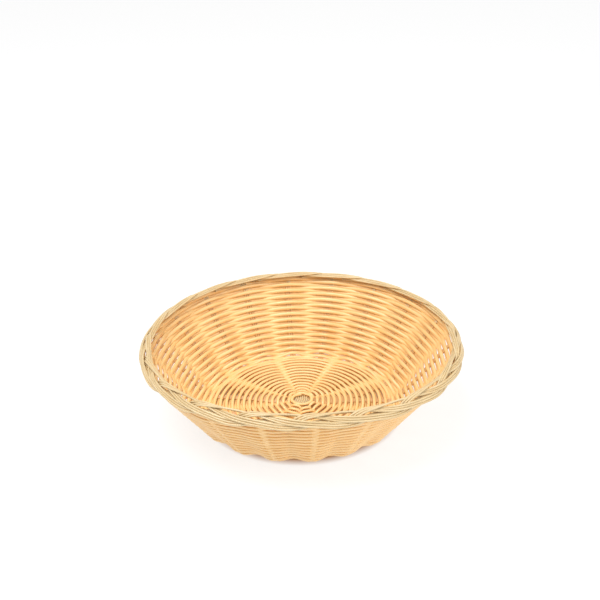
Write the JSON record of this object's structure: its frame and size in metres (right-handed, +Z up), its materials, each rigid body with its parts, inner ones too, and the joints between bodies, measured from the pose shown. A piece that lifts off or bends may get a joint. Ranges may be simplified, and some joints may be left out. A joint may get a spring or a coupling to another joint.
{
  "type": "bread basket",
  "caption": "Round woven bread basket with a flat base, a flared wall and a rim laid from the ends of its stakes.",
  "frame": {"origin": "on the table under the middle of the base", "axes": "+Z up, out of the bowl's mouth; -Y is the front"},
  "size_m": [0.2362, 0.2358, 0.0605],
  "materials": {
    "weaver_strand": "satin extruded polypropylene strand, peach tan",
    "stake_rod": "satin extruded polypropylene rod, ivory"
  },
  "bodies": {
    "root": {"base_weave": "weaver_strand", "border_strand_01": "stake_rod", "border_strand_02": "stake_rod", "border_strand_03": "stake_rod", "border_strand_04": "stake_rod", "border_strand_05": "stake_rod", "border_strand_06": "stake_rod", "border_strand_07": "stake_rod", "border_strand_08": "stake_rod", "border_strand_09": "stake_rod", "border_strand_10": "stake_rod", "border_strand_11": "stake_rod", "border_strand_12": "stake_rod", "border_strand_13": "stake_rod", "border_strand_14": "stake_rod", "border_strand_15": "stake_rod", "border_strand_16": "stake_rod", "border_strand_17": "stake_rod", "border_strand_18": "stake_rod", "border_strand_19": "stake_rod", "bye_stake_1": "stake_rod", "bye_stake_2": "stake_rod", "bye_stake_3": "stake_rod", "half_rod_1": "stake_rod", "half_rod_2": "stake_rod", "half_rod_3": "stake_rod", "half_rod_4": "stake_rod", "half_rod_5": "stake_rod", "half_rod_6": "stake_rod", "through_rod_a1": "stake_rod", "through_rod_a2": "stake_rod", "through_rod_a3": "stake_rod", "through_rod_a4": "stake_rod", "through_rod_a5": "stake_rod", "through_rod_a6": "stake_rod", "through_rod_b1": "stake_rod", "through_rod_b2": "stake_rod", "through_rod_b3": "stake_rod", "through_rod_b4": "stake_rod", "through_rod_b5": "stake_rod", "through_rod_b6": "stake_rod", "through_rod_c1": "stake_rod", "through_rod_c2": "stake_rod", "through_rod_c3": "stake_rod", "through_rod_c4": "stake_rod", "through_rod_c5": "stake_rod", "through_rod_c6": "stake_rod", "through_rod_d1": "stake_rod", "through_rod_d2": "stake_rod", "through_rod_d3": "stake_rod", "through_rod_d4": "stake_rod", "through_rod_d5": "stake_rod", "through_rod_d6": "stake_rod", "wall_weave": "weaver_strand"}
  },
  "joints": []
}
